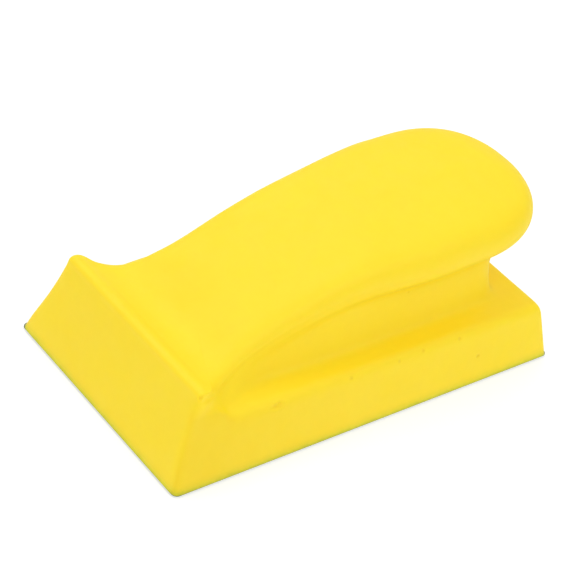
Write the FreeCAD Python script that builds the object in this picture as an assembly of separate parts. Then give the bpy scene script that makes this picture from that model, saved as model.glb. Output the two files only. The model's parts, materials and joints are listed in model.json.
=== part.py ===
import FreeCAD, Part
import math
import os

# Hand sanding block: one moulded polyurethane foam body with a hook-fastener
# sheet glued to its sole.
#
# Frame: millimetres, +Z up, origin at the centre of the sole, on the plane of
# the hook tips.  +Y points to the rounded rear end of the handle, -Y to the
# nose, X is across the block.  The foam body is symmetric about X = 0.

# ------------------------------------------------------------------ dimensions
# base
BASE_LENGTH = 125.0        # along Y
BASE_WIDTH = 70.0          # along X
BASE_CORNER = 5.2          # reach of the rear corners
EDGE_Z = 16.67             # height of the flat ledge of the base
DRAFT = 0.237              # inward slope of the base walls per mm of height

# fastener stack under the foam, from the hook tips upwards
HOOK_HEIGHT = 0.35
BACKING_THICKNESS = 0.25
ADHESIVE_THICKNESS = 0.10
Z_BACKING = HOOK_HEIGHT
Z_ADHESIVE = Z_BACKING + BACKING_THICKNESS
Z_SOLE = Z_ADHESIVE + ADHESIVE_THICKNESS
SHEET_LENGTH = BASE_LENGTH
SHEET_WIDTH = BASE_WIDTH
SHEET_CORNER_R = 1.6
SHEET_SHIFT = (-0.4, 0.4)  # the sheet is stuck on slightly off centre
ADHESIVE_INSET = 0.20
HOOK_MARGIN = 0.30         # bare selvedge of the backing around the hooks

# nose: (height, half width, front Y)
NOSE = [
    (0.0, 35.0, -62.5), (4.0, 33.92, -61.75), (7.0, 32.9, -61.05),
    (10.0, 31.92, -60.20), (13.0, 31.06, -59.25), (15.6, 30.45, -58.45),
    (18.0, 29.98, -57.75), (20.0, 29.68, -57.15), (22.0, 29.48, -56.50),
    (24.0, 29.37, -55.80), (25.2, 29.28, -55.30),
]
FLARE_FRONT_Y = -59.0      # the flare of the nose fades out of the side
FLARE_REAR_Y = -43.0       # walls between these two places
RIDGE_Y = -54.3            # crest of the straight bead across the nose
RIDGE_Z = 25.75
RIDGE_HALF = NOSE[-1][1]

# handle rim: (Y, half width, height of the widest line, edge radius,
#              height of the curve under that line)
RIM = [
    (-55, 29.3, 24.34, 1.2, 2.0), (-53, 28.9, 23.74, 1.6, 2.0),
    (-50, 27.37, 22.69, 2.3, 2.1), (-45, 24.29, 21.76, 2.9, 2.4),
    (-40, 22.14, 22.77, 3.2, 2.7), (-35, 21.08, 24.71, 3.3, 3.0),
    (-30, 20.63, 26.47, 3.3, 3.3), (-25, 20.58, 28.44, 3.4, 3.5),
    (-20, 20.91, 30.27, 3.5, 3.7), (-15, 21.08, 32.01, 3.6, 3.9),
    (-10, 21.24, 33.53, 3.8, 4.1), (-5, 21.63, 34.72, 4.0, 4.3),
    (0, 22.04, 35.46, 4.3, 4.5), (5, 22.57, 35.9, 4.6, 4.7),
    (10, 23.16, 36.2, 4.9, 4.9), (15, 23.78, 36.59, 5.2, 5.2),
    (20, 24.4, 36.88, 5.5, 5.6), (25, 24.76, 37.28, 5.8, 6.1),
    (30, 24.91, 37.74, 6.1, 6.5), (35, 24.83, 38.24, 6.4, 6.9),
]

# crowned top: (Y, height of the centre line)
CENTRE = [
    (-55, 25.6), (-53.5, 25.44), (-52, 25.09), (-50, 24.57), (-47, 23.93), (-43, 24.23),
    (-38, 26.55), (-33, 29.42), (-28, 31.77), (-22, 34.03), (-16, 36.13), (-10, 38.02),
    (-4, 39.7), (2, 41.11), (8, 42.32), (14, 43.43), (20, 44.39), (26, 45.19),
    (32, 45.81), (38, 46.2), (44, 46.44), (50, 46.54), (56, 46.41), (60, 46.01),
]

# rounded rear end of the handle
BULB_END_Y = 64.57
BULB_START_Y = 39.93
BULB_POWER = 2.33          # roundness of the plan curve
BULB_Z = 40.86             # height of the widest line at the rear
BULB_LOW = 6.48            # rounding below that line
BULB_INSET = 9.57          # rounding inside that line

# neck between base and handle (the wall of the finger groove): (Y, half width)
NECK = [
    (-52, 28.9), (-49.5, 27.9), (-46.8, 26.3), (-44, 24.6), (-41, 22.9),
    (-38, 21.8), (-35, 21.1), (-31, 20.6), (-27, 20.5), (-22, 20.7),
    (-15, 21.0), (0, 21.3), (10, 21.2), (31, 21.0), (45, 20.8),
]
NECK_STRAIGHT_Y = 35.0     # the neck keeps its width from here to its corner
NECK_REAR_Y = 48.5
NECK_CORNER_R = 5.5
NECK_LEAN = 1.1            # the neck is this much wider at its foot, and this
                           # much narrower under the handle
FOOT_RISE = 2.4            # height of the neck foot above the ledge
GROOVE_TIP_Y = -46.8       # front end of the ledge
GROOVE_RISE = 1.25         # climb of the groove edge per mm forward of the tip
GROOVE_FULL_Y = -34.0      # where the groove has its full profile
GROOVE_FULL_HEIGHT = 7.0   # a lower groove has its foot and lean scaled down
LEDGE_FULL_WIDTH = 8.0     # a narrower ledge has its fillet scaled down

# line on the centre plane where both half skins meet
SPINE_FRONT_Y = -41.0
SPINE_REAR_Y = 47.0

# ------------------------------------------------------- control net of a half
# Columns run from the centre of the nose, round its corner, along the side and
# round the rear.  Rows climb: base wall, edge, groove, rim, crowned top.
FRONT_SHARES = [0.0, 0.22, 0.45, 0.68, 0.9]
FRONT_COLUMNS = len(FRONT_SHARES) + 2      # the corner and its side pole added
SIDE_Y = [-49.5, -46.5, -43.5, -40.5, -37.5, -34.5, -31.0, -27.0, -22.0, -17.0,
          -11.0, -5.0, 1.0, 7.0, 13.0, 19.0, 24.5, 29.5]
REAR_COLUMNS = 12
FACE_Z = [Z_SOLE, Z_SOLE + 0.25, 3.6, 7.0, 10.0, 12.4, 14.6, 16.2, 17.6, 18.9,
          20.1, 21.2, 22.2, 23.1, 23.9]    # row heights on the nose
EDGE_ROW = 6
UPPER_CORNER_ROW = 14      # the nose corner is tighter from this row up
LOWER_CORNER = 3.4
UPPER_CORNER = 2.6
TOP_STEPS = [0.10, 0.30, 0.54, 0.80, 1.0]  # shares of the way from rim to spine

# groove rows 7 to 15, where it is one hollow sweep: angle along the sweep
SWEEP_DEGREES = {7: 13, 8: 23, 9: 33, 10: 43, 11: 52, 12: 60, 13: 68, 14: 75, 15: 82}
# where it has its full profile: share of the ledge crossed by row 7
LEDGE_SHARE = 0.32
# fillet at the neck foot: (distance out from the leaning neck, rise over ledge)
FILLET = {8: (3.3, 0.0), 9: (1.1, 0.40), 10: (0.2, FOOT_RISE)}
# straight underside: share of the way from the neck foot to the widest line
UNDERSIDE = {11: 0.22, 12: 0.42, 13: 0.62, 14: 0.80, 15: 0.93}
# overhanging rim: (share of the way from neck to widest line, drop below that
# line in rim curve heights); at the sides it drops straight and turns in
# sharply, around the rear end it is round
OVERHANG_TOP = 1.60
OVERHANG_SIDE = {12: (0.10, OVERHANG_TOP), 13: (0.50, 1.18), 14: (0.94, 0.90), 15: (1.03, 0.48)}
OVERHANG_REAR = {12: (0.04, OVERHANG_TOP), 13: (0.28, 1.14), 14: (0.70, 0.88), 15: (1.03, 0.50)}
# rim rows: (degrees up from the widest line, size of the pole arc against the
# rounding it makes)
RIM_ARC = {16: (0, 1.06), 17: (45, 1.07), 18: (90, 1.0)}
RIM_ROWS = 19              # rows from the sole to the inner rim


# --------------------------------------------------------------------- helpers
def look_up(stations, at, column=1):
    """Smooth look-up of a column against the first one, without overshoot."""
    xs = [station[0] for station in stations]
    ys = [station[column] for station in stations]
    if at <= xs[0]:
        return ys[0]
    if at >= xs[-1]:
        return ys[-1]
    slopes = [(ys[i + 1] - ys[i]) / (xs[i + 1] - xs[i]) for i in range(len(xs) - 1)]
    tangents = [slopes[0]]
    for i in range(1, len(slopes)):
        if slopes[i - 1] * slopes[i] <= 0:
            tangents.append(0.0)
        else:
            before, after = xs[i] - xs[i - 1], xs[i + 1] - xs[i]
            w1, w2 = 2 * after + before, after + 2 * before
            tangents.append((w1 + w2) / (w1 / slopes[i - 1] + w2 / slopes[i]))
    tangents.append(slopes[-1])
    i = 0
    while at > xs[i + 1]:
        i += 1
    span = xs[i + 1] - xs[i]
    t = (at - xs[i]) / span
    return ((2 * t**3 - 3 * t * t + 1) * ys[i]
            + (t**3 - 2 * t * t + t) * span * tangents[i]
            + (-2 * t**3 + 3 * t * t) * ys[i + 1]
            + (t**3 - t * t) * span * tangents[i + 1])


def ease(start, end, x):
    """Smooth step from 0 at start to 1 at end."""
    t = min(1.0, max(0.0, (x - start) / (end - start)))
    return t * t * (3 - 2 * t)


def mix(start, end, share):
    return tuple(a + (b - a) * share for a, b in zip(start, end))


def at_height(point, z):
    return (point[0], point[1], z)


def offset(point, direction, distance, z):
    """Point moved in plan along a direction and set at height z."""
    return (point[0] + direction[0] * distance, point[1] + direction[1] * distance, z)


def equal_steps(line, count):
    """Points at equal arc length along a polyline, without its start."""
    lengths = [0.0]
    for a, b in zip(line, line[1:]):
        lengths.append(lengths[-1] + math.dist(a, b))
    points = []
    for i in range(1, count + 1):
        target = lengths[-1] * i / count
        k = 0
        while k < len(lengths) - 2 and lengths[k + 1] < target:
            k += 1
        share = (target - lengths[k]) / (lengths[k + 1] - lengths[k])
        points.append(mix(line[k], line[k + 1], share))
    return points


# ------------------------------------------------------------ lines of the body
def rim(y):
    """Half width, height, edge radius and lower curve height of the rim."""
    return tuple(look_up(RIM, y, column) for column in (1, 2, 3, 4))


def centre_z(y):
    return look_up(CENTRE, y)


def neck_x(y):
    return look_up(NECK, y)


def wall_x(z, y):
    """Side wall of the base: flared at the nose, plainly drafted behind it."""
    plain = ease(FLARE_FRONT_Y, FLARE_REAR_Y, y)
    return look_up(NOSE, z) * (1 - plain) + (BASE_WIDTH / 2 - DRAFT * z) * plain


def edge_z(y):
    """Height of the edge where the base wall ends."""
    return EDGE_Z + GROOVE_RISE * max(0.0, GROOVE_TIP_Y - y)


def base_wall(j, z):
    """Point of the base wall at height z in side or rear column j."""
    if j < len(SIDE_Y):
        return (wall_x(z, SIDE_Y[j]), SIDE_Y[j], z)
    x_end = BASE_WIDTH / 2 - DRAFT * z
    y_end = BASE_LENGTH / 2 - DRAFT * z
    y_start, near = SIDE_Y[-1], BASE_CORNER * 0.52
    plan = [(x_end, y_start + (y_end - BASE_CORNER - y_start) * share)
            for share in (0.22, 0.44, 0.66, 0.85)]
    plan += [(x_end, y_end - near), (x_end, y_end), (x_end - near, y_end)]
    plan += [((x_end - BASE_CORNER) * share, y_end) for share in (0.97, 0.72, 0.48, 0.24, 0.0)]
    return at_height(plan[j - len(SIDE_Y)], z)


def rear_neck():
    """Rear corner and rear wall of the neck, in plan."""
    x, radius = neck_x(NECK_STRAIGHT_Y), NECK_CORNER_R
    line = [(neck_x(SIDE_Y[-1]), SIDE_Y[-1]), (x, NECK_STRAIGHT_Y), (x, NECK_REAR_Y - radius)]
    for k in range(1, 13):
        angle = math.pi / 2 * k / 12
        line.append((x - radius + radius * math.cos(angle),
                     NECK_REAR_Y - radius + radius * math.sin(angle)))
    line.append((0.0, NECK_REAR_Y))
    return equal_steps(line, REAR_COLUMNS)


def rear_crest():
    """Widest line of the handle around its rounded rear end, in plan."""
    half_width, length = rim(BULB_START_Y)[0], BULB_END_Y - BULB_START_Y
    line = [(rim(y)[0], y) for y in (SIDE_Y[-1], 32.5)]
    for k in range(61):
        angle = math.pi / 2 * k / 60
        across = math.cos(angle) ** (2 / BULB_POWER) if k < 60 else 0.0
        line.append((half_width * across,
                     BULB_START_Y + length * math.sin(angle) ** (2 / BULB_POWER)))
    return equal_steps(line, REAR_COLUMNS)


def crest_columns():
    """Per column: point of the widest line, inward normal, and the rounding
    inside, below and above that line."""
    columns = []
    for y in SIDE_Y:
        half_width, z, radius, low = rim(y)
        high = min(radius, centre_z(y) - z - 0.02)
        columns.append(((half_width, y, z), (-1.0, 0.0), radius, low, high))
    half_width, z, radius, low = rim(SIDE_Y[-1])
    plan = [(half_width, SIDE_Y[-1])] + rear_crest()
    end_high = centre_z(BULB_END_Y - BULB_INSET) - BULB_Z
    for i in range(1, REAR_COLUMNS + 1):
        if i == REAR_COLUMNS:
            normal = (0.0, -1.0)
        else:
            (ax, ay), (bx, by) = plan[i - 1], plan[i + 1]
            chord = math.hypot(bx - ax, by - ay)
            normal = (-(by - ay) / chord, (bx - ax) / chord)
        height, *rounding = mix((z, radius, low, radius),
                                (BULB_Z, BULB_INSET, BULB_LOW, end_high),
                                ease(0.0, 1.0, i / REAR_COLUMNS))
        columns.append((at_height(plan[i], height), normal, *rounding))
    return columns


def spine_points():
    """Y of the spine pole of every column."""
    spine = [SPINE_FRONT_Y + 0.55 * j for j in range(FRONT_COLUMNS)]
    start = spine[-1] + 0.8
    first, last = SIDE_Y[0], SIDE_Y[-1]
    spine += [start + (last - 2.0 - start) * (y - first) / (last - first) for y in SIDE_Y]
    start = spine[-1]
    spine += [start + (SPINE_REAR_Y - start) * (i + 1) / REAR_COLUMNS
              for i in range(REAR_COLUMNS)]
    return spine


# ----------------------------------------------------------------------- poles
def sweep_pole(k, edge, crest):
    """Groove as one hollow sweep from its edge to the widest line."""
    angle = math.radians(SWEEP_DEGREES[k])
    return at_height(mix(edge, crest, math.sin(angle)),
                     edge[2] + (crest[2] - edge[2]) * (1.0 - math.cos(angle)))


def full_pole(k, edge, neck, column):
    """Groove opened into ledge, fillet, neck wall and underside of the rim."""
    crest, inward, _, low, _ = column
    if k == 7:
        return mix(edge, at_height(neck, edge[2]), LEDGE_SHARE)
    width = math.hypot(edge[0] - neck[0], edge[1] - neck[1])
    outward = ((edge[0] - neck[0]) / width, (edge[1] - neck[1]) / width)
    scale = min(1.0, (crest[2] - edge[2]) / GROOVE_FULL_HEIGHT)
    if k in FILLET:
        distance, rise = FILLET[k]
        distance = (distance + NECK_LEAN) * min(1.0, width / LEDGE_FULL_WIDTH)
        return offset(neck, outward, distance, edge[2] + rise * scale)
    lean = NECK_LEAN * scale
    foot = offset(neck, outward, lean, edge[2] + FOOT_RISE * scale)
    top = offset(neck, outward, -lean, crest[2] - OVERHANG_TOP * low)
    straight = mix(foot, at_height(crest, crest[2] - 0.3), UNDERSIDE[k])
    if k == 11:
        bent = mix(foot, top, 0.5)
    else:
        share, drop = mix(OVERHANG_REAR[k], OVERHANG_SIDE[k], 1.0 - ease(12.0, 32.0, crest[1]))
        bent = at_height(mix(top, crest, share), crest[2] - drop * low)
    # the underside bends only where the rim stands out over the neck
    overhang = -(crest[0] - neck[0]) * inward[0] - (crest[1] - neck[1]) * inward[1]
    return mix(straight, bent, ease(-2.0, 0.8, overhang) * ease(-38.0, -12.0, crest[1]))


def column_pole(k, j, neck, column):
    """Pole of row k, up to the inner rim, in side or rear column j."""
    crest, inward, inside, _, high = column
    y = crest[1]
    edge_height = edge_z(y)
    if k < EDGE_ROW:
        climb = (edge_height / EDGE_Z - 1.0) * k / EDGE_ROW
        return base_wall(j, FACE_Z[k] * (1.0 + climb))
    if k in RIM_ARC:
        degrees, size = RIM_ARC[k]
        angle = math.radians(degrees)
        return offset(crest, inward, inside * (1.0 - size * math.cos(angle)),
                      crest[2] + size * high * math.sin(angle))
    edge = base_wall(j, edge_height)
    if k == EDGE_ROW:
        # the edge is softly rounded where the groove runs out at the front
        below = base_wall(j, FACE_Z[EDGE_ROW - 1] * edge_height / EDGE_Z)
        soft = mix(below, mix(edge, at_height(crest, edge_height), 0.23), 0.5)
        return mix(edge, soft, 0.5 * (1.0 - ease(GROOVE_TIP_Y, -24.0, y)))
    sweep = sweep_pole(k, edge, crest)
    opening = ease(GROOVE_TIP_Y, GROOVE_FULL_Y, y)
    if opening == 0.0:
        return sweep
    return mix(sweep, full_pole(k, edge, neck, column), opening)


def nose_corners():
    """Outer end of each row on the nose, up the face and over the ridge."""
    corners = [(look_up(NOSE, z, 1), look_up(NOSE, z, 2), z) for z in FACE_Z]
    behind = RIDGE_Y + 2.9
    return corners + [(RIDGE_HALF + 0.05, RIDGE_Y - 1.3, RIDGE_Z - 0.55),
                      (RIDGE_HALF, RIDGE_Y - 0.3, RIDGE_Z + 0.10),
                      (RIDGE_HALF - 0.2, RIDGE_Y + 1.2, RIDGE_Z),
                      (RIDGE_HALF - 0.6, behind, centre_z(behind) + 0.03)]


def half_net():
    """Poles of the skin for x >= 0: rows climb from the sole to the spine."""
    columns = crest_columns()
    necks = [(neck_x(y), y) for y in SIDE_Y] + rear_neck()
    corners = nose_corners()
    rows = []
    for k in range(RIM_ROWS):
        x, y, z = corners[k]
        reach = LOWER_CORNER if k < UPPER_CORNER_ROW else UPPER_CORNER
        front = [((x - reach) * share / FRONT_SHARES[-1], y, z) for share in FRONT_SHARES]
        side = [column_pole(k, j, necks[j], column) for j, column in enumerate(columns)]
        # level with the last pole, so that the halves meet smoothly
        side[-2] = (side[-2][0], side[-1][1], side[-1][2])
        turn = mix(corners[k], side[0], min(0.5, reach / (side[0][1] - y)))
        if k < UPPER_CORNER_ROW:
            turn = (wall_x(turn[2], turn[1]), turn[1], turn[2])
        rows.append(front + [corners[k], turn] + side)
    inner = rows[-1]
    spine = spine_points()
    for step in TOP_STEPS:
        row = []
        for (x0, y0, z0), spine_y in zip(inner, spine):
            y = y0 + (spine_y - y0) * step
            z = centre_z(y) - (centre_z(y0) - z0) * (1 - step) ** 2
            row.append((x0 * (1 - step), y, z))
        rows.append(row)
    return rows


# ------------------------------------------------------------------- foam body
def skin(net, side):
    """Cubic B-spline surface of one half; side is +1 or -1 for its sign of X."""
    poles = [[FreeCAD.Vector(side * x, y, z) for x, y, z in column] for column in zip(*net)]
    counts = (len(poles), len(net))
    u_knots, v_knots = [[float(i) for i in range(n - 2)] for n in counts]
    u_mults, v_mults = [[4] + [1] * (n - 4) + [4] for n in counts]
    surface = Part.BSplineSurface()
    surface.buildFromPolesMultsKnots(poles, u_mults, v_mults, u_knots, v_knots,
                                     False, False, 3, 3)
    return surface


def foam_body():
    net = half_net()
    halves = [skin(net, 1.0), skin(net, -1.0)]
    # the lowest row of each half bounds the flat sole
    edges = [half.vIso(half.bounds()[2]).toShape() for half in halves]
    sole = Part.Face(Part.Wire(Part.__sortEdges__(edges)))
    shell = Part.makeShell([half.toShape() for half in halves] + [sole])
    shell.sewShape()
    solid = Part.makeSolid(Part.Shell(shell.Faces))
    # sewing may leave the faces pointing inwards
    if solid.Volume < 0:
        solid.reverse()
    return solid


# ------------------------------------------------------------- fastener sheets
def sheet(inset, bottom, top):
    """Flat sheet with small corner radii, inset all round from the backing."""
    length, width = SHEET_LENGTH - 2 * inset, SHEET_WIDTH - 2 * inset
    shift_x, shift_y = SHEET_SHIFT
    box = Part.makeBox(width, length, top - bottom,
                       FreeCAD.Vector(shift_x - width / 2, shift_y - length / 2, bottom))
    uprights = [e for e in box.Edges
                if abs(e.Vertexes[0].Z - e.Vertexes[-1].Z) > (top - bottom) / 2]
    return box.makeFillet(SHEET_CORNER_R, uprights)


parts = {
    "foam_body": foam_body(),
    "adhesive_film": sheet(ADHESIVE_INSET, Z_ADHESIVE, Z_SOLE),
    "hook_backing": sheet(0.0, Z_BACKING, Z_ADHESIVE),
    # the field of hooks is held as one thin slab of its full height
    "hook_pile": sheet(HOOK_MARGIN, 0.0, Z_BACKING),
}

os.makedirs("parts", exist_ok=True)
for name, shape in parts.items():
    shape.exportStep("parts/" + name + ".step")
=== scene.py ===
"""Yellow moulded foam block: a flat base, a finger groove and a crowned handle, on hook tape.

The length lies along Y with the nose at -Y and the rounded handle end at +Y, the width
along X, and Z runs up from the hook tips.  The shape is given in millimetres and scaled
to metres when meshes are made; lengths in materials, lights and camera are in metres.
"""
import json
import math
import random

import bmesh
import bpy
import numpy as np
from mathutils import Matrix, Vector, noise

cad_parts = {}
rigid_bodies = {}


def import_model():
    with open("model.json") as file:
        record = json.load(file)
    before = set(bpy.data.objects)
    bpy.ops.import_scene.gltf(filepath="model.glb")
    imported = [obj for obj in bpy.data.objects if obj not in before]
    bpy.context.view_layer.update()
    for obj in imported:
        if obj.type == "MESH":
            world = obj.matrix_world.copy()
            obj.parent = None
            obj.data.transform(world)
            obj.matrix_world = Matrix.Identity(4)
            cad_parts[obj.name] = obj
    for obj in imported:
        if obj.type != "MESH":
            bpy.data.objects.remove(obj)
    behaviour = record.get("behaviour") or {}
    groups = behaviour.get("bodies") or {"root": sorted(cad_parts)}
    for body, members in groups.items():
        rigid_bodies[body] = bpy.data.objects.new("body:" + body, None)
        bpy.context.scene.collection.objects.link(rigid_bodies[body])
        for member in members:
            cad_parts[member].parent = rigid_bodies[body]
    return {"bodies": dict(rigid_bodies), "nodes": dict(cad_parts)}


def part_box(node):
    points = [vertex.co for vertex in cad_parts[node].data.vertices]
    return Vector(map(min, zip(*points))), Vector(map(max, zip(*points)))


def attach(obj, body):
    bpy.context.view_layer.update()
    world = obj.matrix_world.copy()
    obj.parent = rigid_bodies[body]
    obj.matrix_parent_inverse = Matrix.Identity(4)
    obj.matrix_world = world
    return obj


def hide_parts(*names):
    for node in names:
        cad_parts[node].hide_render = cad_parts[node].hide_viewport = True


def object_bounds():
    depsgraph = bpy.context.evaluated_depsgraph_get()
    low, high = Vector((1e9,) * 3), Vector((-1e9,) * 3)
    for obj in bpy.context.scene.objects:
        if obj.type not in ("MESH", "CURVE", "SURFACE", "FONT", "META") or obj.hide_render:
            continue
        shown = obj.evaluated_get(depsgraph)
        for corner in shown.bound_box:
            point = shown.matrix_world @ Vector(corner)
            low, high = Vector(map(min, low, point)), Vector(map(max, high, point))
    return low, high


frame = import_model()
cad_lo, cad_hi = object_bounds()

random.seed(7)
MM = 0.001
scene = bpy.context.scene
BODY = list(frame["bodies"])[0]
PILE_LO, PILE_HI = [np.array(v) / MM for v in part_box("hook_pile")]

# =============================================================================
# Dimensions of the foam body
# =============================================================================
# base
BASE_LENGTH = 125.0        # sole length, along Y
BASE_WIDTH = 70.0          # sole width, along X
BASE_CORNER_R = 5.2        # rear corners
EDGE_Z = 16.67             # height of the flat ledge of the base
DRAFT = 0.237              # inward slope of the base walls per mm of height

# fastener stack under the foam, from the hook tips upwards
HOOK_HEIGHT = 0.35
BACKING_THICKNESS = 0.25
ADHESIVE_THICKNESS = 0.10
Z_SOLE = HOOK_HEIGHT + BACKING_THICKNESS + ADHESIVE_THICKNESS

# nose: half width and front position against height
NOSE_Z = [0.0, 4.0, 7.0, 10.0, 13.0, 15.6, 18.0, 20.0, 22.0, 24.0, 25.2]
NOSE_X = [35, 33.92, 32.9, 31.92, 31.06, 30.45, 29.98, 29.68, 29.48, 29.37, 29.28]
NOSE_Y = [-62.5, -61.75, -61.05, -60.20, -59.25, -58.45, -57.75, -57.15, -56.50, -55.80, -55.30]
RIDGE_Y = -54.3            # crest of the straight bead across the nose
RIDGE_Z = 25.75
RIDGE_HALF = 29.28

# handle rim along Y: half width, height of the widest line, edge radius, and
# height of the curve under that line
RIM_Y = [-55, -53, -50, -45, -40, -35, -30, -25, -20, -15,
         -10, -5, 0, 5, 10, 15, 20, 25, 30, 35]
RIM_W = [29.3, 28.9, 27.37, 24.29, 22.14, 21.08, 20.63, 20.58, 20.91, 21.08,
         21.24, 21.63, 22.04, 22.57, 23.16, 23.78, 24.4, 24.76, 24.91, 24.83]
RIM_Z = [24.34, 23.74, 22.69, 21.76, 22.77, 24.71, 26.47, 28.44, 30.27, 32.01,
         33.53, 34.72, 35.46, 35.9, 36.2, 36.59, 36.88, 37.28, 37.74, 38.24]
RIM_R = [1.2, 1.6, 2.3, 2.9, 3.2, 3.3, 3.3, 3.4, 3.5, 3.6,
         3.8, 4.0, 4.3, 4.6, 4.9, 5.2, 5.5, 5.8, 6.1, 6.4]
RIM_LOW = [2.0, 2.0, 2.1, 2.4, 2.7, 3.0, 3.3, 3.5, 3.7, 3.9,
           4.1, 4.3, 4.5, 4.7, 4.9, 5.2, 5.6, 6.1, 6.5, 6.9]

# crowned top: height of the centre line along Y
CENTRE_Y = [-55, -53.5, -52, -50, -47, -43, -38, -33, -28, -22, -16, -10,
            -4, 2, 8, 14, 20, 26, 32, 38, 44, 50, 56, 60]
CENTRE_Z = [25.6, 25.44, 25.09, 24.57, 23.93, 24.23, 26.55, 29.42, 31.77, 34.03, 36.13, 38.02,
            39.7, 41.11, 42.32, 43.43, 44.39, 45.19, 45.81, 46.2, 46.44, 46.54, 46.41, 46.01]

# rounded rear end of the handle
BULB_END_Y = 64.57
BULB_START_Y = 39.93
BULB_POWER = 2.33          # roundness of the plan curve
BULB_Z = 40.86             # height of the widest line at the rear
BULB_LOW = 6.48            # rounding below and inside that line
BULB_HORIZ = 9.57

# neck between base and handle (the wall of the finger groove): half width along Y
NECK_Y = [-52, -49.5, -46.8, -44, -41, -38, -35, -31, -27, -22, -15, 0, 10, 31, 45]
NECK_X = [28.9, 27.9, 26.3, 24.6, 22.9, 21.8, 21.1, 20.6, 20.5, 20.7, 21.0, 21.3, 21.2, 21.0, 20.8]
NECK_SIDE_Y = 35.0         # from here back the neck sides run straight
NECK_REAR_Y = 48.5
NECK_CORNER_R = 5.5
NECK_LEAN = 1.1            # the neck wall leans: this much wider at its foot, and
                           # this much narrower under the handle
NECK_FOOT = 2.4            # height of the foot of the neck wall over the ledge
GROOVE_TIP_Y = -46.8       # front end of the ledge; from here the edge of the
GROOVE_RISE = 1.25         # groove climbs forward to the end of the ridge
GROOVE_FULL_Y = -34.0      # where the groove has its full profile

# line on the centre plane where both half skins meet
SPINE_FRONT_Y = -41.0
SPINE_REAR_Y = 47.0

# ---------------------------------------------------- control net of a half
# Columns run from the centre of the nose, round the side, to the centre of the rear.
FRONT_SHARES = [0.0, 0.22, 0.45, 0.68, 0.9]
N_FRONT = len(FRONT_SHARES) + 2      # and two poles at the front corner
SIDE_Y = [-49.5, -46.5, -43.5, -40.5, -37.5, -34.5, -31.0, -27.0, -22.0, -17.0,
          -11.0, -5.0, 1.0, 7.0, 13.0, 19.0, 24.5, 29.5]
N_REAR = 12
# Rows run from the sole up to the inner rim, then inwards to the spine.
FACE_Z = [Z_SOLE, Z_SOLE + 0.25, 3.6, 7.0, 10.0, 12.4, 14.6, 16.2, 17.6, 18.9,
          20.1, 21.2, 22.2, 23.1, 23.9]
EDGE_ROW = 6               # edge of the ledge; the base wall is below
NECK_ROW = 11              # first row of the neck wall
CREST_ROW = 16             # widest line of the handle
INNER_ROW = 18             # inner line of the rim
FLARED_ROWS = 14           # rows whose front corner follows the flared wall
TOP_STEPS = [0.10, 0.30, 0.54, 0.80, 1.0]
ROUND = 1.07               # poles stand this much outside the arc they round
CREST_ROUND = 1.06         # the same on the widest line

# poles of the groove, per row
SWEEP_DEG = {7: 13, 8: 23, 9: 33, 10: 43, 11: 52, 12: 60, 13: 68, 14: 75, 15: 82}
LEDGE_FILLET = {8: (3.3, 0.0), 9: (1.1, 0.40), 10: (0.2, NECK_FOOT)}   # out from neck, up
NECK_SHARE = {11: 0.22, 12: 0.42, 13: 0.62, 14: 0.80, 15: 0.93}  # from foot to rim
# underside of an overhanging rim: share of the way out from the neck, and drop
# below the widest line in lower radii
UNDER_REAR = {12: (0.04, 1.60), 13: (0.28, 1.14), 14: (0.70, 0.88), 15: (1.03, 0.50)}
UNDER_SIDE = {12: (0.10, 1.60), 13: (0.50, 1.18), 14: (0.94, 0.90), 15: (1.03, 0.48)}

# sample positions on the skin, in knot spans: (start, end, steps) runs
U_RUNS = [(0, 3, 14), (3, 6.5, 30), (6.5, 12, 36), (12, 23, 60), (23, 34, 72)]
V_RUNS = [(0.0, 0.35, 3), (0.35, 3, 10), (3, 6.5, 26), (6.5, 10, 26), (10, 13, 20),
          (13, 18, 44), (18, 21, 22)]
SOLE_INSETS = (0.10, 2.0, 9.0)       # flat rings inside the lower edge

# Small hollows in the moulded skin: centre, long direction, half length, half
# width, depth.  Burst bubbles, a nick on the ledge edge and a pit at the end of the bead.
MARKS = [
    ((31.20, -32.2, 15.35), (0.10, 1.0, -0.06), 1.75, 0.62, 0.42),
    ((31.28, -30.9, 15.45), (0.10, 1.0, -0.10), 0.80, 0.60, 0.38),
    ((28.85, -55.10, 24.75), (0.0, 0.6, 0.8), 0.55, 0.42, 0.45),
    ((31.10, -8.3, 15.45), (0.0, 1.0, 0.0), 0.42, 0.36, 0.16),
    ((31.00, 15.9, 15.70), (0.0, 1.0, 0.0), 0.48, 0.34, 0.16),
    ((31.30, 7.6, 15.30), (0.0, 1.0, 0.0), 0.36, 0.30, 0.14),
    ((31.08, 28.4, 15.45), (0.0, 1.0, 0.0), 0.40, 0.34, 0.20),
    ((33.01, 35.8, 8.40), (0.0, 1.0, 0.1), 0.42, 0.36, 0.28),
    ((20.29, 15.9, 27.55), (0.0, 1.0, 0.2), 0.40, 0.32, 0.20),
    ((-31.1, 22.0, 15.5), (0.0, 1.0, 0.0), 0.45, 0.36, 0.26),
    ((-32.9, -20.5, 8.9), (0.0, 1.0, 0.2), 0.40, 0.34, 0.28),
    ((-20.9, 3.0, 24.0), (0.0, 1.0, 0.2), 0.40, 0.34, 0.28),
    ((8.0, 59.8, 11.2), (1.0, 0.0, 0.1), 0.42, 0.36, 0.28),
]
TINTED_MARKS = MARKS[:9]   # the marks on the +X side also get a darker colour
# shallow flow lines on the nose face: start, end, half width, depth
STREAKS = [
    ((-0.2, -61.0, 7.2), (1.3, -59.3, 12.9), 0.55, 0.10),
    ((5.5, -60.7, 8.3), (6.6, -59.4, 12.6), 0.50, 0.07),
    ((10.4, -59.9, 10.4), (13.0, -61.1, 6.6), 0.70, 0.08),
]


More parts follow.
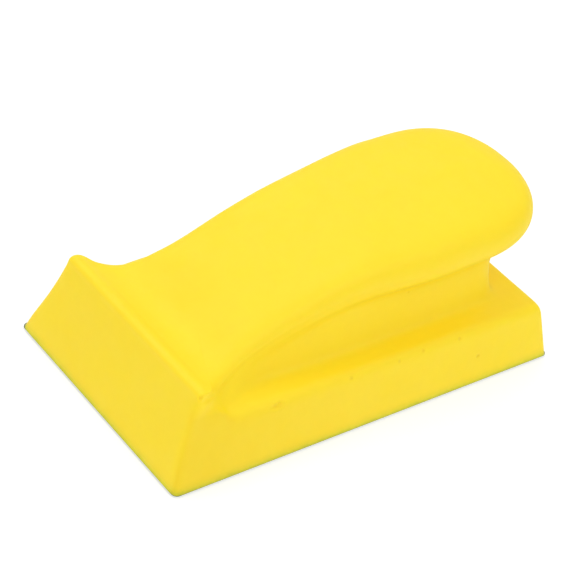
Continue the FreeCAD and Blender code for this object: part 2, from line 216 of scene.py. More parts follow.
# =============================================================================
# Curves of the foam body
# =============================================================================
def table(xs, ys, x):
    """Smooth look-up in a table, without overshoot."""
    n = len(xs)
    if x <= xs[0]:
        return ys[0]
    if x >= xs[-1]:
        return ys[-1]
    slopes = [(ys[i + 1] - ys[i]) / (xs[i + 1] - xs[i]) for i in range(n - 1)]
    tangents = [slopes[0]]
    for i in range(1, n - 1):
        if slopes[i - 1] * slopes[i] <= 0:
            tangents.append(0.0)
        else:
            h0, h1 = xs[i] - xs[i - 1], xs[i + 1] - xs[i]
            w1, w2 = 2 * h1 + h0, h1 + 2 * h0
            tangents.append((w1 + w2) / (w1 / slopes[i - 1] + w2 / slopes[i]))
    tangents.append(slopes[-1])
    i = 0
    while x > xs[i + 1]:
        i += 1
    h = xs[i + 1] - xs[i]
    t = (x - xs[i]) / h
    return ((2 * t**3 - 3 * t * t + 1) * ys[i] + (t**3 - 2 * t * t + t) * h * tangents[i]
            + (-2 * t**3 + 3 * t * t) * ys[i + 1] + (t**3 - t * t) * h * tangents[i + 1])


def ease(start, end, x):
    """Smooth step from 0 at start to 1 at end."""
    t = min(1.0, max(0.0, (x - start) / (end - start)))
    return t * t * (3 - 2 * t)


def mix(p, q, t):
    return tuple(p[i] + (q[i] - p[i]) * t for i in range(len(p)))


def nose(z):
    return table(NOSE_Z, NOSE_X, z), table(NOSE_Z, NOSE_Y, z)


def rim(y):
    return tuple(table(RIM_Y, values, y) for values in (RIM_W, RIM_Z, RIM_R, RIM_LOW))


def centre_z(y):
    return table(CENTRE_Y, CENTRE_Z, y)


def neck_x(y):
    return table(NECK_Y, NECK_X, y)


def wall_x(z, y):
    """Side wall of the base: flared at the nose, plainly drafted behind it."""
    s = ease(-59.0, -43.0, y)
    return nose(z)[0] * (1 - s) + (BASE_WIDTH / 2 - DRAFT * z) * s


def edge_z(y):
    """Height of the edge where the base wall ends."""
    return EDGE_Z + GROOVE_RISE * max(0.0, GROOVE_TIP_Y - y)


def equal_steps(poly, n):
    """n points at equal arc length along a polyline, without its start."""
    run = [0.0]
    for p, q in zip(poly, poly[1:]):
        run.append(run[-1] + math.dist(p, q))
    out = []
    for i in range(1, n + 1):
        t = run[-1] * i / n
        k = 0
        while k < len(run) - 2 and run[k + 1] < t:
            k += 1
        out.append(mix(poly[k], poly[k + 1], (t - run[k]) / (run[k + 1] - run[k])))
    return out


def rear_base(z, i):
    """Rear corner and rear wall of the base at height z."""
    xe = BASE_WIDTH / 2 - DRAFT * z
    ye = BASE_LENGTH / 2 - DRAFT * z
    r, y0 = BASE_CORNER_R, SIDE_Y[-1]
    points = [(xe, y0 + (ye - r - y0) * f) for f in (0.22, 0.44, 0.66, 0.85)]
    points += [(xe, ye - r * 0.52), (xe, ye), (xe - r * 0.52, ye)]
    points += [((xe - r) * f, ye) for f in (0.97, 0.72, 0.48, 0.24, 0.0)]
    return points[i]


def rear_neck():
    """Rear corner and rear wall of the neck."""
    x, r, y0 = neck_x(NECK_SIDE_Y), NECK_CORNER_R, SIDE_Y[-1]
    poly = [(neck_x(y0), y0), (x, NECK_SIDE_Y), (x, NECK_REAR_Y - r)]
    for k in range(1, 13):
        a = math.pi / 2 * k / 12
        poly.append((x - r + r * math.cos(a), NECK_REAR_Y - r + r * math.sin(a)))
    poly.append((0.0, NECK_REAR_Y))
    return equal_steps(poly, N_REAR)


def rear_crest():
    """Widest line of the handle around its rounded rear end, in plan."""
    y0, depth, w0 = BULB_START_Y, BULB_END_Y - BULB_START_Y, rim(BULB_START_Y)[0]
    poly = [(rim(y)[0], y) for y in (SIDE_Y[-1], 32.5)]
    for k in range(61):
        a = math.pi / 2 * k / 60
        c = math.cos(a) ** (2 / BULB_POWER) if k < 60 else 0.0
        poly.append((w0 * c, y0 + depth * math.sin(a) ** (2 / BULB_POWER)))
    return equal_steps(poly, N_REAR)


def crest_columns():
    """Per column: plan point, inward normal, height, and radii across, below, above."""
    cols = []
    for y in SIDE_Y:
        w, z, r, low = rim(y)
        up = min(r, centre_z(y) - z - 0.02)
        cols.append(((w, y), (-1.0, 0.0), z, r, low, up))
    w1, z1, r1, low1 = rim(SIDE_Y[-1])
    pts = [(w1, SIDE_Y[-1])] + rear_crest()
    end_up = centre_z(BULB_END_Y - BULB_HORIZ) - BULB_Z
    for i in range(1, N_REAR + 1):
        if i == N_REAR:
            normal = (0.0, -1.0)
        else:
            (ax, ay), (bx, by) = pts[i - 1], pts[i + 1]
            length = math.hypot(bx - ax, by - ay)
            normal = (-(by - ay) / length, (bx - ax) / length)
        g = ease(0.0, 1.0, i / N_REAR)
        cols.append((pts[i], normal, z1 + (BULB_Z - z1) * g, r1 + (BULB_HORIZ - r1) * g,
                     low1 + (BULB_LOW - low1) * g, r1 + (end_up - r1) * g))
    return cols


def spine_points():
    """Y of the spine pole of each column."""
    ys = [SPINE_FRONT_Y + 0.55 * j for j in range(N_FRONT)]
    first = ys[-1] + 0.8
    y0, y1 = SIDE_Y[0], SIDE_Y[-1]
    ys += [first + (y1 - 2.0 - first) * (y - y0) / (y1 - y0) for y in SIDE_Y]
    last = ys[-1]
    ys += [last + (SPINE_REAR_Y - last) * (i + 1) / N_REAR for i in range(N_REAR)]
    return ys


# =============================================================================
# Control net and skin
# =============================================================================
def groove_point(k, edge, neck, col):
    """Pole of row k between the edge of the ledge and the widest line."""
    (cx, cy), (nx, ny), zm, _, low, _ = col
    ze = edge[2]
    # at the front the groove is one hollow sweep from its edge to the
    # widest line; further back it opens into ledge, fillet and neck wall
    t = math.radians(SWEEP_DEG[k])
    sweep = (edge[0] + (cx - edge[0]) * math.sin(t), edge[1] + (cy - edge[1]) * math.sin(t),
             ze + (zm - ze) * (1.0 - math.cos(t)))
    opening = ease(GROOVE_TIP_Y, GROOVE_FULL_Y, cy)
    if opening == 0.0:
        return sweep
    x, y = neck
    width = math.hypot(edge[0] - x, edge[1] - y)
    dx, dy = (edge[0] - x) / width, (edge[1] - y) / width
    squash = min(1.0, (zm - ze) / 7.0)      # flattens the profile under a low rim
    if k == EDGE_ROW + 1:
        deep = mix(edge, (x, y, ze), 0.32)
    elif k < NECK_ROW:
        out, up = LEDGE_FILLET[k]
        out = (out + NECK_LEAN) * min(1.0, width / 8.0)
        deep = (x + dx * out, y + dy * out, ze + up * squash)
    else:
        overhang = (cx - x) * (-nx) + (cy - y) * (-ny)
        over = ease(-2.0, 0.8, overhang) * ease(-38.0, -12.0, cy)
        foot = (x + dx * NECK_LEAN * squash, y + dy * NECK_LEAN * squash,
                ze + NECK_FOOT * squash)
        x, y = x - dx * NECK_LEAN * squash, y - dy * NECK_LEAN * squash
        deep = mix(foot, (cx, cy, zm - 0.3), NECK_SHARE[k])
        if k == NECK_ROW:
            bent = mix(foot, (x, y, zm - 1.60 * low), 0.5)
        else:
            # along the sides the rim drops straight and turns in sharply; around
            # the rear end it is round
            out, drop = mix(UNDER_REAR[k], UNDER_SIDE[k], 1.0 - ease(12.0, 32.0, cy))
            bent = (x + (cx - x) * out, y + (cy - y) * out, zm - drop * low)
        deep = mix(deep, bent, over)
    return mix(sweep, deep, opening)


def rim_point(angle, outset, col):
    """Pole of the rounded rim, at an angle above the widest line."""
    (cx, cy), (nx, ny), zm, across, _, up = col
    d = across * (1.0 - outset * math.cos(angle))
    return (cx + nx * d, cy + ny * d, zm + outset * up * math.sin(angle))


def column_point(k, base, neck, col):
    """Pole of row k; base gives the plan point of the base wall at a height."""
    cx, cy = col[0]

    def wall(z):
        return (*base(z), z)

    ze = edge_z(cy)
    if k < EDGE_ROW:
        return wall(FACE_Z[k] * (1.0 + (ze / EDGE_Z - 1.0) * k / 6.0))
    edge = wall(ze)
    if k == EDGE_ROW:
        # the edge is softly rounded where the groove runs out at the front
        soft = mix(wall(FACE_Z[5] * ze / EDGE_Z), mix(edge, (cx, cy, ze), 0.23), 0.5)
        return mix(edge, soft, 0.5 * (1.0 - ease(GROOVE_TIP_Y, -24.0, cy)))
    if k < CREST_ROW:
        return groove_point(k, edge, neck, col)
    if k == CREST_ROW:
        return rim_point(0.0, CREST_ROUND, col)
    if k < INNER_ROW:
        return rim_point(math.pi / 4, ROUND, col)
    return rim_point(math.pi / 2, 1.0, col)


def half_net():
    """Poles of the skin for x >= 0: rows climb from the sole to the spine."""
    cols = crest_columns()
    neck = rear_neck()
    n_side = len(SIDE_Y)
    # nose face, then the bead across its top
    front = [(*nose(z), z) for z in FACE_Z]
    front += [(RIDGE_HALF + 0.05, RIDGE_Y - 1.3, RIDGE_Z - 0.55),
              (RIDGE_HALF, RIDGE_Y - 0.3, RIDGE_Z + 0.10),
              (RIDGE_HALF - 0.2, RIDGE_Y + 1.2, RIDGE_Z),
              (RIDGE_HALF - 0.6, RIDGE_Y + 2.9, centre_z(RIDGE_Y + 2.9) + 0.03)]
    rows = []
    for k, (fx, fy, fz) in enumerate(front):
        corner = 3.4 if k < FLARED_ROWS else 2.6
        row = [((fx - corner) * f / FRONT_SHARES[-1], fy, fz) for f in FRONT_SHARES]
        row.append((fx, fy, fz))
        side = []
        for j, col in enumerate(cols):
            if j < n_side:
                y = SIDE_Y[j]
                side.append(column_point(k, lambda z: (wall_x(z, y), y), (neck_x(y), y), col))
            else:
                i = j - n_side
                side.append(column_point(k, lambda z: rear_base(z, i), neck[i], col))
        # level with the last pole, so that the skin crosses the centre plane squarely
        side[-2] = (side[-2][0], side[-1][1], side[-1][2])
        turn = mix(row[-1], side[0], min(0.5, corner / (side[0][1] - fy)))
        if k < FLARED_ROWS:
            turn = (wall_x(turn[2], turn[1]), turn[1], turn[2])
        rows.append(row + [turn] + side)
    inner = rows[INNER_ROW]
    spine = spine_points()
    for f in TOP_STEPS:
        row = []
        for j, (x0, y0, z0) in enumerate(inner):
            y = y0 + (spine[j] - y0) * f
            row.append((x0 * (1 - f), y,
                        centre_z(y) - (centre_z(y0) - z0) * (1 - f) ** 2))
        rows.append(row)
    return rows


def basis(n, ts):
    """Values of the n clamped uniform cubic B-splines at ts in 0..n-3."""
    knots = np.concatenate([[0] * 3, np.arange(n - 2), [n - 3] * 3]).astype(float)
    out = np.zeros((len(ts), n))
    for a, x in enumerate(ts):
        x = min(max(float(x), 0.0), n - 3 - 1e-9)
        i = int(np.searchsorted(knots, x, side="right") - 1)
        left, right, values = [0.0] * 4, [0.0] * 4, [1.0, 0, 0, 0]
        for j in range(1, 4):
            left[j], right[j] = x - knots[i + 1 - j], knots[i + j] - x
            saved = 0.0
            for r in range(j):
                t = values[r] / (right[r + 1] + left[j - r])
                values[r] = saved + right[r + 1] * t
                saved = left[j - r] * t
            values[j] = saved
        out[a, i - 3:i + 1] = values
    return out


def spread(runs):
    """Sample positions from (start, end, steps) runs."""
    out = [runs[0][0]]
    for start, end, n in runs:
        out += [start + (end - start) * (i + 1) / n for i in range(n)]
    return np.array(out)


def foam_grid():
    """Points of the half skin, rows by columns."""
    net = np.array(half_net())
    across, along = basis(net.shape[0], spread(V_RUNS)), basis(net.shape[1], spread(U_RUNS))
    return np.einsum("ai,bj,ijc->abc", across, along, net)


# =============================================================================
# Mesh and node helpers
# =============================================================================
def shade_smooth(mesh):
    mesh.polygons.foreach_set("use_smooth", [True] * len(mesh.polygons))


def new_object(name, verts, faces):
    mesh = bpy.data.meshes.new(name)
    mesh.from_pydata([tuple(v) for v in verts], [], [tuple(f) for f in faces])
    mesh.validate()
    ob = bpy.data.objects.new(name, mesh)
    scene.collection.objects.link(ob)
    shade_smooth(mesh)
    return ob


def new_material(name):
    """Material with one Principled shader: material, node tree, shader."""
    mat = bpy.data.materials.new(name)
    mat.use_nodes = True
    nt = mat.node_tree
    nt.nodes.clear()
    out = nt.nodes.new("ShaderNodeOutputMaterial")
    shader = nt.nodes.new("ShaderNodeBsdfPrincipled")
    nt.links.new(shader.outputs[0], out.inputs[0])
    return mat, nt, shader


def set_inputs(node, values):
    for name, value in values.items():
        node.inputs[name].default_value = value


def object_coords(nt):
    return nt.nodes.new("ShaderNodeTexCoord").outputs["Object"]


def noise_tex(nt, coords, scale, detail=3.0, roughness=0.6, distortion=0.0):
    node = nt.nodes.new("ShaderNodeTexNoise")
    set_inputs(node, {"Scale": scale, "Detail": detail, "Roughness": roughness,
                      "Distortion": distortion})
    nt.links.new(coords, node.inputs["Vector"])
    return node.outputs["Fac"]


def ramp(nt, fac, stops):
    """Colour ramp; a stop is (position, grey value or rgb)."""
    node = nt.nodes.new("ShaderNodeValToRGB")
    elements = node.color_ramp.elements
    while len(elements) > 1:
        elements.remove(elements[-1])
    for i, (position, tone) in enumerate(stops):
        element = elements.new(position) if i else elements[0]
        element.position = position
        element.color = (*tone, 1.0) if isinstance(tone, tuple) else (tone, tone, tone, 1.0)
    nt.links.new(fac, node.inputs["Fac"])
    return node.outputs[0]


def multiply(nt, first, second):
    """Product of two colours."""
    node = nt.nodes.new("ShaderNodeMix")
    node.data_type = "RGBA"
    node.blend_type = "MULTIPLY"
    node.inputs[0].default_value = 1.0
    nt.links.new(first, node.inputs[6])
    nt.links.new(second, node.inputs[7])
    return node.outputs[2]


def maths(nt, operation, *values, clamp=False):
    node = nt.nodes.new("ShaderNodeMath")
    node.operation = operation
    node.use_clamp = clamp
    for socket, value in zip(node.inputs, values):
        if isinstance(value, bpy.types.NodeSocket):
            nt.links.new(value, socket)
        else:
            socket.default_value = value
    return node.outputs[0]


def fraction(nt, value, minus, span):
    """(value - minus) / span, held within 0..1."""
    return maths(nt, "DIVIDE", maths(nt, "SUBTRACT", value, minus), span, clamp=True)


def bump(nt, height, strength, distance):
    node = nt.nodes.new("ShaderNodeBump")
    set_inputs(node, {"Strength": strength, "Distance": distance})
    nt.links.new(height, node.inputs["Height"])
    return node


# =============================================================================
# Foam body
# =============================================================================
def wander(bm):
    """Slow unevenness of the moulded skin, and the flow lines; the sole stays flat."""
    for v in bm.verts:
        p = v.co / MM
        fade = min(1.0, max(0.0, (p.z - 1.4) / 5.0))
        if fade <= 0.0:
            continue
        d = 0.055 * noise.noise(p * 0.055 + Vector((3.1, 7.7, 1.9)))
        d += 0.022 * noise.noise(p * 0.17 + Vector((9.3, 2.2, 5.4)))
        for start, end, half_width, depth in STREAKS:
            a, b = Vector(start), Vector(end)
            t = max(0.0, min(1.0, (p - a).dot(b - a) / (b - a).length_squared))
            r = (p - (a + (b - a) * t)).length / half_width
            if r < 2.5:
                # shallower towards both ends of the line
                d -= depth * math.exp(-r * r) * math.sin(math.pi * (0.12 + 0.76 * t))
        v.co += v.normal * (d * fade * MM)


def dent(bm, centre, along, half_len, half_wid, depth):
    """Cut a finer patch into the skin and press a small smooth hollow into it."""
    target = Vector(centre) * MM
    nearest = min(bm.verts, key=lambda v: (v.co - target).length_squared)
    c, n = nearest.co.copy(), nearest.normal.copy()
    reach = (half_len + 0.9) * MM
    for _ in range(2):
        near = [e for e in bm.edges if all((v.co - c).length < reach for v in e.verts)]
        bmesh.ops.subdivide_edges(bm, edges=near, cuts=1, use_grid_fill=True)
        reach *= 0.85
    a = Vector(along)
    a = (a - n * a.dot(n)).normalized()
    b = n.cross(a)
    for v in bm.verts:
        d = v.co - c
        if d.length > 3.0 * half_len * MM + 0.001:
            continue
        q = (d.dot(a) / (half_len * MM)) ** 2 + (d.dot(b) / (half_wid * MM)) ** 2
        if abs(d.dot(n)) < 2.5 * MM and q < 6.0:
            v.co -= n * (depth * MM * math.exp(-q * 1.2))
            # faint raised lip around the hollow
            v.co += n * (0.10 * depth * MM * math.exp(-(math.sqrt(q) - 1.9) ** 2 * 3.0))


def skin_mesh():
    """Both half skins: vertices, faces and vertex numbers by half, row and column."""
    grid = foam_grid()
    nv, nu, _ = grid.shape
    grid[:, 0, 0] = 0.0
    grid[:, -1, 0] = 0.0
    grid[-1, :, 0] = 0.0
    verts, faces = [], []
    ids = np.empty((2, nv, nu), int)
    for half in (0, 1):
        for a in range(nv):
            for b in range(nu):
                if half == 1 and (b in (0, nu - 1) or a == nv - 1):
                    ids[1, a, b] = ids[0, a, b]      # shared on the centre plane
                    continue
                p = grid[a, b].copy()
                if half == 1:
                    p[0] = -p[0]
                ids[half, a, b] = len(verts)
                verts.append(p)
    for half in (0, 1):
        I = ids[half]
        for a in range(nv - 1):
            for b in range(nu - 1):
                quad = [I[a, b], I[a, b + 1], I[a + 1, b + 1], I[a + 1, b]]
                faces.append(quad if half == 0 else quad[::-1])
    return verts, faces, ids


def add_sole(verts, faces, ids):
    """Close the bottom with flat inset rings and a strip down the middle."""
    ring = list(ids[0, 0, :]) + list(ids[1, 0, ::-1][1:-1])
    n = len(ring)
    outline = np.array([verts[i] for i in ring])
    z0 = float(outline[0, 2])
    hx, hy = abs(outline[:, 0]).max(), abs(outline[:, 1]).max()
    for inset in SOLE_INSETS:
        sx, sy = (hx - inset) / hx, (hy - inset) / hy
        inner = list(range(len(verts), len(verts) + n))
        verts += [np.array([p[0] * sx, p[1] * sy, z0]) for p in outline]
        for i in range(n):
            j = (i + 1) % n
            faces.append([ring[i], inner[i], inner[j], ring[j]])
        ring = inner
    for i in range(ids.shape[2] - 1):
        f = [ring[i], ring[-i % n], ring[-(i + 1) % n], ring[i + 1]]
        # at both ends of the strip two corners coincide
        faces.append([v for k, v in enumerate(f) if v != f[k - 1]])


def make_foam():
    verts, faces, ids = skin_mesh()
    add_sole(verts, faces, ids)
    ob = new_object("foam_block", np.array(verts) * MM, faces)
    bm = bmesh.new()
    bm.from_mesh(ob.data)
    bmesh.ops.remove_doubles(bm, verts=bm.verts, dist=1e-7)
    bmesh.ops.recalc_face_normals(bm, faces=bm.faces)
    bm.normal_update()
    wander(bm)
    for mark in MARKS:
        dent(bm, *mark)
    # around the finer patches every face with more than four sides becomes a fan
    bmesh.ops.poke(bm, faces=[f for f in bm.faces if len(f.verts) > 4])
    bmesh.ops.recalc_face_normals(bm, faces=bm.faces)
    bm.to_mesh(ob.data)
    bm.free()
    shade_smooth(ob.data)
    return ob


def foam_material():
    mat, nt, shader = new_material("foam_skin_yellow")
    obj = object_coords(nt)
    axes = nt.nodes.new("ShaderNodeSeparateXYZ")
    nt.links.new(obj, axes.inputs[0])
    x, y, z = axes.outputs
    # broad tone drift of the moulded skin, and finer mottling
    broad = noise_tex(nt, obj, scale=38.0, roughness=0.55, distortion=0.4)
    base = ramp(nt, broad, [(0.30, (0.985, 0.720, 0.0097)), (0.52, (0.991, 0.730, 0.0108)),
                            (0.72, (0.996, 0.738, 0.0121))])
    fine = noise_tex(nt, obj, scale=420.0, detail=4.0)
    col = multiply(nt, base, ramp(nt, fine, [(0.32, 0.985), (0.68, 1.0)]))
    # the lowest millimetres, next to the glue line, are duller and greener
    ragged = noise_tex(nt, obj, scale=300.0)
    shift = maths(nt, "MULTIPLY", maths(nt, "SUBTRACT", ragged, 0.5), 0.0011)
    level = fraction(nt, maths(nt, "ADD", z, shift), minus=0.0007, span=0.0030)
    foot = ramp(nt, level, [(0.0, (0.56, 0.74, 0.80)), (0.12, (0.68, 0.84, 0.90)),
                            (0.32, (0.86, 0.945, 1.0)), (0.65, (0.965, 0.985, 1.0)),
                            (1.0, 1.0)])
    col = multiply(nt, col, foot)
    # painted shade: the side walls are darker towards the nose and its corners, where
    # the light falls off; undoing the draft tells the base walls from everything further in
    wall = maths(nt, "ADD", maths(nt, "ABSOLUTE", x), maths(nt, "MULTIPLY", z, DRAFT))
    side = fraction(nt, wall, minus=0.0328, span=0.0014)
    nose_end = fraction(nt, -0.044, minus=y, span=0.006)
    top = maths(nt, "ADD", 0.0178, maths(nt, "MULTIPLY", nose_end, 0.0044))
    low = fraction(nt, top, minus=z, span=0.0035)
    along = fraction(nt, 0.030, minus=y, span=0.092)
    painted_falloff_mask = maths(nt, "MULTIPLY", maths(nt, "MULTIPLY", side, low), along)
    painted_falloff_shade = ramp(nt, painted_falloff_mask, [(0.0, 1.0), (0.35, (0.985, 0.975, 0.995)),
                             (0.7, (0.955, 0.942, 0.975)), (1.0, (0.915, 0.905, 0.955))])
    col = multiply(nt, col, painted_falloff_shade)
    # darker, browner colour in and around the small hollows on the +X side
    for centre, _, _, half_wid, _ in TINTED_MARKS:
        distance = nt.nodes.new("ShaderNodeVectorMath")
        distance.operation = "DISTANCE"
        nt.links.new(obj, distance.inputs[0])
        distance.inputs[1].default_value = tuple(c * MM for c in centre)
        f = maths(nt, "DIVIDE", distance.outputs["Value"], (half_wid + 0.35) * MM, clamp=True)
        tint = ramp(nt, f, [(0.0, (0.90, 0.86, 0.75)), (0.55, (0.94, 0.92, 0.85)), (1.0, 1.0)])
        col = multiply(nt, col, tint)
    # painted shade: the base colour darkens at grazing angles to the eye, towards the silhouette
    turn = nt.nodes.new("ShaderNodeLayerWeight")
    set_inputs(turn, {"Blend": 0.5})
    grazing_shade = ramp(nt, turn.outputs["Facing"], [(0.0, 1.0), (0.72, 1.0),
                                             (0.90, (0.960, 0.955, 1.0)),
                                             (1.0, (0.88, 0.88, 1.0))])
    col = multiply(nt, col, grazing_shade)
    nt.links.new(col, shader.inputs["Base Color"])
    patches = noise_tex(nt, obj, scale=160.0)
    nt.links.new(ramp(nt, patches, [(0.3, 0.47), (0.7, 0.60)]), shader.inputs["Roughness"])
    set_inputs(shader, {"IOR": 1.47, "Specular IOR Level": 0.42, "Subsurface Weight": 0.22,
                        "Subsurface Radius": (1.0, 0.55, 0.10), "Subsurface Scale": 0.0022})
    # skin grain: fine pebble and a soft orange peel
    grain = noise_tex(nt, obj, scale=3600.0)
    peel = noise_tex(nt, obj, scale=620.0, detail=2.0, roughness=0.5)
    pebble = bump(nt, grain, strength=0.16, distance=0.00010)
    orange = bump(nt, peel, strength=0.20, distance=0.00016)
    nt.links.new(pebble.outputs[0], orange.inputs["Normal"])
    nt.links.new(orange.outputs[0], shader.inputs["Normal"])
    return mat


foam = make_foam()
foam.data.materials.append(foam_material())
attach(foam, BODY)
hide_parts("foam_body")


# =============================================================================
# Adhesive film and hook backing: the CAD pieces with new materials
# =============================================================================
def plain_material(name, dark, light, scale, roughness, strength=0.0):
    """Mottled material; roughness is its (dark, light) range, strength that of a bump."""
    mat, nt, shader = new_material(name)
    mottle = noise_tex(nt, object_coords(nt), scale)
    colour = ramp(nt, mottle, [(0.3, dark), (0.7, light)])
    nt.links.new(colour, shader.inputs["Base Color"])
    rough = ramp(nt, mottle, [(0.3, roughness[0]), (0.7, roughness[1])])
    nt.links.new(rough, shader.inputs["Roughness"])
    if strength:
        relief = bump(nt, mottle, strength, distance=0.00005)
        nt.links.new(relief.outputs[0], shader.inputs["Normal"])
    return mat


def dress(node, mat):
    for slot in frame["nodes"][node].material_slots:
        slot.link = "OBJECT"
        slot.material = mat


dress("adhesive_film", plain_material(
    "adhesive_clear_film", dark=(0.50, 0.44, 0.22), light=(0.60, 0.53, 0.28),
    scale=900.0, roughness=(0.30, 0.42)))
dress("hook_backing", plain_material(
    "hook_tape_backing", dark=(0.100, 0.150, 0.034), light=(0.140, 0.195, 0.048),
    scale=1500.0, roughness=(0.42, 0.6), strength=0.3))


# =============================================================================
# Moulded hooks under the backing
# =============================================================================
HOOK_PITCH_X, HOOK_PITCH_Y = 1.40, 1.60
HOOK_BORDER = 0.9          # taken off the box size before the pitches are counted
HOOK_CORNER = 1.0          # no hooks in squares of this size at the corners
HOOK_JITTER = 0.03         # random shift of place, and lean of a hook
# centre line of one hook, root to tip: offset along Y, share of the height down,
# half size in X, half size in Y, and turn of the ring, which follows the bend so
# that the hook keeps its thickness
HOOK_PATH = [
    (0.00, 0.00, 0.11, 0.10, 0.0), (0.01, 0.30, 0.085, 0.085, 0.05),
    (0.03, 0.62, 0.075, 0.080, 0.25), (0.09, 0.86, 0.070, 0.075, 0.80),
    (0.19, 0.955, 0.062, 0.060, 1.45), (0.30, 0.87, 0.040, 0.040, 2.30),
]


def add_hook(verts, faces, cx, cy, z_root, z_tip, side, lean):
    """One bent stem of square section; side is the sense of its bend along Y."""
    base = len(verts)
    for offset, down, hx, hy, turn in HOOK_PATH:
        x = cx + lean * down
        y = cy + side * offset
        z = z_root - down * (z_root - z_tip)
        turn = turn * side
        for ux, uy in ((-1, -1), (1, -1), (1, 1), (-1, 1)):
            dy = uy * hy
            corner_z = min(max(z + dy * math.sin(turn) * 0.5, z_tip), z_root)
            verts.append((x + ux * hx * 0.8, y + dy * math.cos(turn), corner_z))
    faces.append([base + 3, base + 2, base + 1, base])
    tip = base + 4 * (len(HOOK_PATH) - 1)
    for a in range(base, tip, 4):
        for c in range(4):
            d = (c + 1) % 4
            faces.append([a + c, a + d, a + 4 + d, a + 4 + c])
    faces.append([tip, tip + 1, tip + 2, tip + 3])


def make_hooks():
    """Rows of small bent stems filling the box of the hook layer."""
    z_root, z_tip = PILE_HI[2] + 0.01, PILE_LO[2] + 0.004
    verts, faces = [], []
    x0, x1, y0, y1 = PILE_LO[0], PILE_HI[0], PILE_LO[1], PILE_HI[1]
    nx = int((x1 - x0 - HOOK_BORDER) // HOOK_PITCH_X)
    ny = int((y1 - y0 - HOOK_BORDER) // HOOK_PITCH_Y)

    def jitter():
        return random.uniform(-HOOK_JITTER, HOOK_JITTER)

    for j in range(ny + 1):
        side = 1.0 if j % 2 else -1.0
        for i in range(nx + 1):
            cx = (x0 + x1) / 2 + (i - nx / 2) * HOOK_PITCH_X + jitter()
            cy = (y0 + y1) / 2 + (j - ny / 2) * HOOK_PITCH_Y + jitter()
            if min(cx - x0, x1 - cx) < HOOK_CORNER and min(cy - y0, y1 - cy) < HOOK_CORNER:
                continue
            add_hook(verts, faces, cx, cy, z_root, z_tip, side, lean=jitter())
    ob = new_object("hook_field", np.array(verts) * MM, faces)
    ob.data.set_sharp_from_angle(angle=math.radians(50))
    bm = bmesh.new()
    bm.from_mesh(ob.data)
    bmesh.ops.recalc_face_normals(bm, faces=bm.faces)
    bm.to_mesh(ob.data)
    bm.free()
    ob.data.materials.append(plain_material(
        "hook_nylon", dark=(0.110, 0.160, 0.040), light=(0.155, 0.205, 0.055),
        scale=1500.0, roughness=(0.32, 0.46), strength=0.2))
    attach(ob, BODY)
    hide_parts("hook_pile")


make_hooks()


# =============================================================================
# Stage: floor, lights, world and camera
# =============================================================================
def floor_material():
    mat, nt, shader = new_material("floor_pale")
    drift = noise_tex(nt, object_coords(nt), scale=3.0, detail=2.0, roughness=0.5)
    nt.links.new(ramp(nt, drift, [(0.3, 0.60), (0.7, 0.615)]), shader.inputs["Base Color"])
    # the table is a softly lit white panel
    set_inputs(shader, {"Roughness": 0.75, "Specular IOR Level": 0.1,
                        "Emission Color": (1.0, 1.0, 1.0, 1.0), "Emission Strength": 0.50})
    return mat


def make_floor():
    n, half = 24, 3.0                     # cells along a side, half size
    z = float(cad_lo[2]) - 0.00002        # just clear of the hook tips
    ticks = [(i / n - 0.5) * 2 * half for i in range(n + 1)]
    verts = [(x, y, z) for y in ticks for x in ticks]
    corners = [j * (n + 1) + i for j in range(n) for i in range(n)]
    faces = [[c, c + 1, c + n + 2, c + n + 1] for c in corners]
    ob = new_object("floor", verts, faces)
    ob.data.materials.append(floor_material())


LIGHT_TARGET = (0.0, 0.0, 0.02)
LIGHT_DISTANCE = 1.3
# name, azimuth from -Y towards +X and elevation in degrees, width, height, power in watts
LIGHTS = [
    ("soft_left", 270, 48, 1.2, 1.2, 4.92),
    ("soft_right", 90, 48, 1.2, 1.2, 6.72),
    ("soft_top", 0, 90, 1.2, 1.2, 1.79),
    ("soft_back", 210, 48, 1.2, 1.2, 1.60),
    ("soft_front", 330, 48, 1.2, 1.2, 2.11),
    ("low_front", 340, 14, 1.2, 0.7, 0.82),
]


def direction(azimuth, elevation):
    """Unit vector from the target out to a light or camera; angles in radians."""
    return Vector((math.sin(azimuth) * math.cos(elevation),
                   -math.cos(azimuth) * math.cos(elevation), math.sin(elevation)))


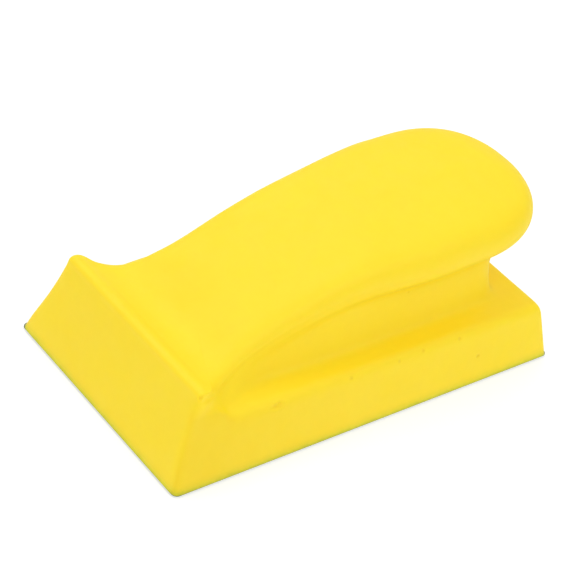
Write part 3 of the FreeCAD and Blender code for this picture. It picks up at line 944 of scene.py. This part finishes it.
def make_light(name, azimuth, elevation, width, height, power):
    light = bpy.data.lights.new(name, "AREA")
    light.shape = "RECTANGLE"
    light.size, light.size_y = width, height
    light.energy = power
    ob = bpy.data.objects.new(name, light)
    back = direction(math.radians(azimuth), math.radians(elevation))
    ob.location = Vector(LIGHT_TARGET) + back * LIGHT_DISTANCE
    ob.rotation_mode = "QUATERNION"
    ob.rotation_quaternion = (-back).to_track_quat("-Z", "Y")
    scene.collection.objects.link(ob)


def make_world():
    """White surroundings, brighter where the camera looks straight at them."""
    world = bpy.data.worlds.new("studio")
    scene.world = world
    world.use_nodes = True
    nt = world.node_tree
    white = (1.0, 1.0, 1.0, 1.0)
    ambient = nt.nodes["Background"]
    set_inputs(ambient, {"Color": white, "Strength": 0.47})
    backdrop = nt.nodes.new("ShaderNodeBackground")
    set_inputs(backdrop, {"Color": white, "Strength": 0.93})
    path = nt.nodes.new("ShaderNodeLightPath")
    either = nt.nodes.new("ShaderNodeMixShader")
    nt.links.new(path.outputs["Is Camera Ray"], either.inputs[0])
    nt.links.new(ambient.outputs[0], either.inputs[1])
    nt.links.new(backdrop.outputs[0], either.inputs[2])
    nt.links.new(either.outputs[0], nt.nodes["World Output"].inputs["Surface"])


def make_camera():
    azimuth, elevation, roll = (math.radians(a) for a in (44.478, 37.092, 13.524))
    distance = 0.537639
    target = Vector((-0.018219, 0.013236, 0.0))
    back = direction(azimuth, elevation)
    right = Vector((math.cos(azimuth), math.sin(azimuth), 0.0))
    up = back.cross(right)
    x = right * math.cos(roll) + up * math.sin(roll)
    y = up * math.cos(roll) - right * math.sin(roll)
    pose = Matrix((x, y, back)).transposed().to_4x4()
    pose.translation = target + back * distance
    camera = bpy.data.cameras.new("camera")
    camera.sensor_width = 36.0
    camera.lens = 121.6551724
    camera.clip_start, camera.clip_end = 0.01, 20.0
    ob = bpy.data.objects.new("camera", camera)
    ob.matrix_world = pose
    scene.collection.objects.link(ob)
    scene.camera = ob


make_floor()
for light_row in LIGHTS:
    make_light(*light_row)
make_world()
scene.view_settings.view_transform = "Standard"
scene.view_settings.look = "None"
scene.view_settings.exposure = 0.0
scene.view_settings.gamma = 1.0
make_camera()

bpy.context.view_layer.update()
